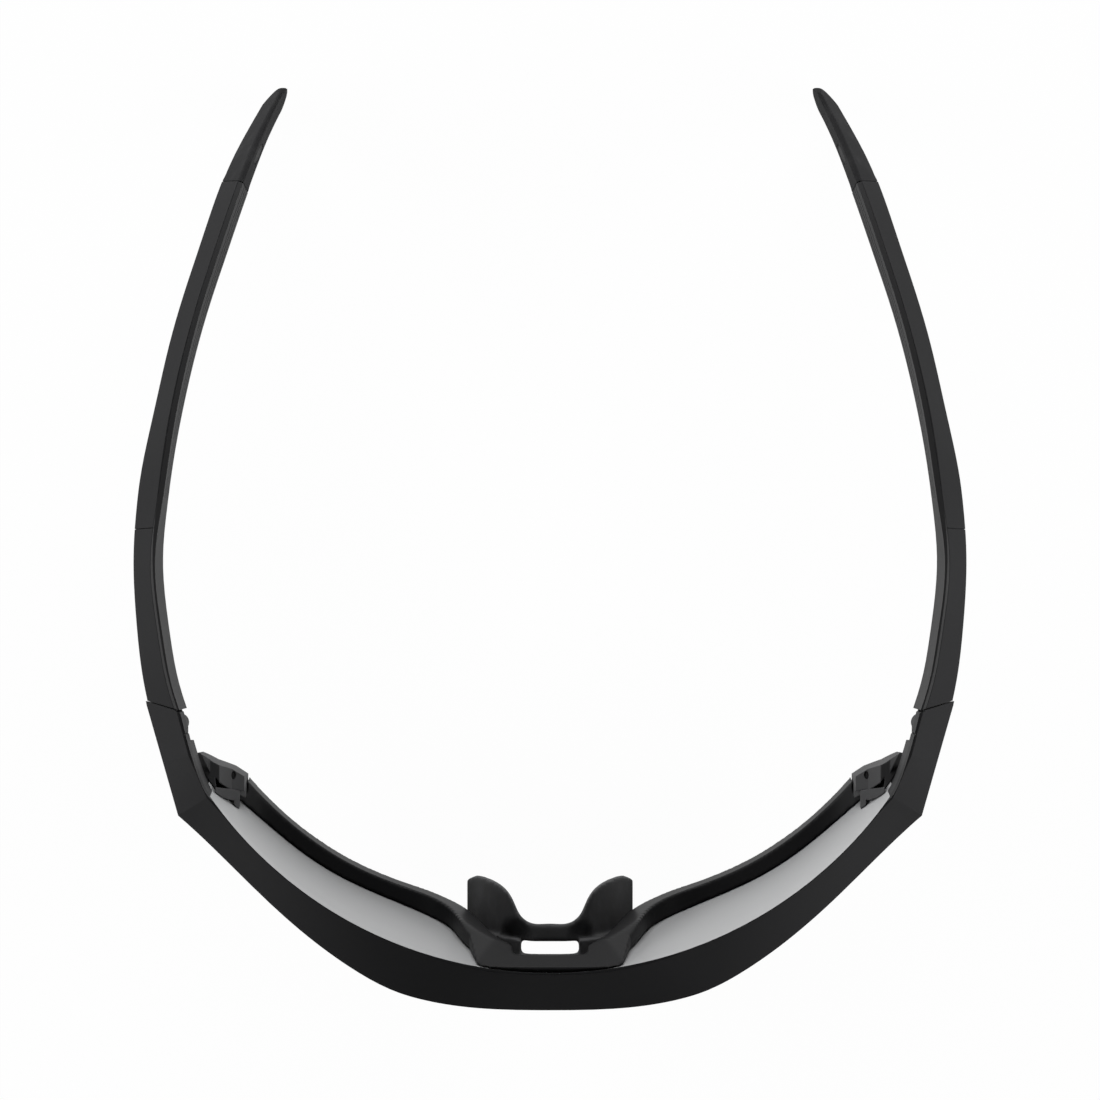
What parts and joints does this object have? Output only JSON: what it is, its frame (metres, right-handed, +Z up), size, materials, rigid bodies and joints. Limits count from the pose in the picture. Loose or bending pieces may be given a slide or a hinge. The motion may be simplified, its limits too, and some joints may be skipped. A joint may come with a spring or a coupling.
{
  "type": "wraparound sport sunglasses",
  "caption": "Wraparound sport sunglasses with a one-piece shield lens, open lower rim, rubber nose piece and two temples that fold on screwed hinges.",
  "frame": {"origin": "on the table under the open sunglasses, midway between the front of the brow and the ends of the ear tips, on the plane of symmetry", "axes": "+Z up, -Y out through the lens, +Y toward the ear tips, +X the wearer's left"},
  "size_m": [0.1462, 0.1642, 0.05],
  "materials": {
    "frame_black": "satin moulded black plastic with a soft sheen",
    "rim_black": "satin moulded black plastic",
    "inner_black": "matte moulded black plastic",
    "tip_black": "soft matte rubber",
    "rubber_black": "soft matte rubber",
    "lens": "polished tinted polycarbonate",
    "steel": "dark steel screw"
  },
  "bodies": {
    "front": {"brow_frame": "frame_black", "lower_rim": "rim_black", "shield_lens": "lens", "nose_pad": "rubber_black", "left_arm_chassis": "inner_black", "left_hinge_screw": "steel", "left_end_block": "inner_black", "left_block_screw": "steel", "left_lens_catch": "inner_black", "right_arm_chassis": "inner_black", "right_hinge_screw": "steel", "right_end_block": "inner_black", "right_block_screw": "steel", "right_lens_catch": "inner_black"},
    "left_temple": {"left_temple_core": "inner_black", "left_front_cover": "frame_black", "left_rear_cover": "frame_black", "left_ear_tip": "tip_black"},
    "right_temple": {"right_temple_core": "inner_black", "right_front_cover": "frame_black", "right_rear_cover": "frame_black", "right_ear_tip": "tip_black"}
  },
  "joints": [
    {"name": "left_temple_fold", "type": "hinge", "parent": "front", "child": "left_temple", "pos_m": [0.0651, -0.0324, 0.0347], "axis": [0, 0, 1], "range_deg": [0, 78]},
    {"name": "right_temple_fold", "type": "hinge", "parent": "front", "child": "right_temple", "pos_m": [-0.0651, -0.0324, 0.0347], "axis": [0, 0, -1], "range_deg": [0, 87]}
  ]
}
